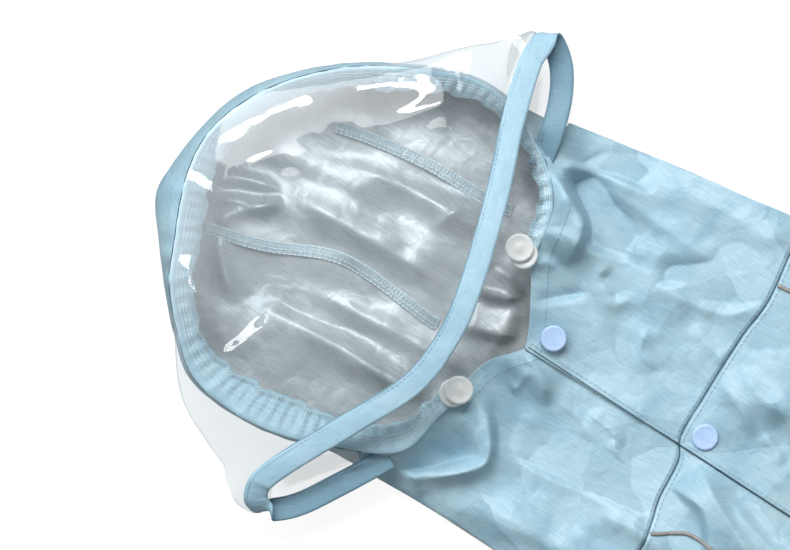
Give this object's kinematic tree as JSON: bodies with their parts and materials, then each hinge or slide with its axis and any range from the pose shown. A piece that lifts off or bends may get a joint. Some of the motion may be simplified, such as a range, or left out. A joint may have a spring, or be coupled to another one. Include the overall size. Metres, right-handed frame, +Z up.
{
  "type": "dog raincoat",
  "caption": "Hooded dog raincoat lying on its back, with elastic hood opening, folded clear visor bound in ribbon, snap placket, short sleeves and piping.",
  "frame": {"origin": "on the table, under the middle of the coat's outline", "axes": "+X along the coat from the hood to the back hem, +Y across it towards the dog's left front, +Z up from the table"},
  "size_m": [0.521, 0.3808, 0.0566],
  "materials": {
    "blue_cloth": "pale blue coated polyester with a soft sheen, silver-grey coating inside",
    "clear_film": "clear soft vinyl film, glossy",
    "ribbon": "folded binding of the same pale blue cloth",
    "blue_snap": "pale blue resin, satin",
    "clear_snap": "milky clear resin, satin",
    "piping": "grey reflective piping"
  },
  "bodies": {
    "root": {"hood_side_left": "blue_cloth", "hood_centre": "blue_cloth", "hood_side_right": "blue_cloth", "rim_casing": "blue_cloth", "visor_film": "clear_film", "visor_binding": "ribbon", "yoke_left": "blue_cloth", "yoke_right": "blue_cloth", "front_left": "blue_cloth", "front_right": "blue_cloth", "side_left": "blue_cloth", "side_right": "blue_cloth", "back_panel": "blue_cloth", "sleeve_left": "blue_cloth", "sleeve_right": "blue_cloth", "piping_left": "piping", "piping_right": "piping", "placket_snap_1": "blue_snap", "placket_snap_2": "blue_snap", "placket_snap_3": "blue_snap", "placket_snap_4": "blue_snap", "rim_snap_left_socket": "clear_snap", "rim_snap_left_cap": "clear_snap", "rim_snap_right_socket": "clear_snap", "rim_snap_right_cap": "clear_snap"}
  },
  "joints": []
}
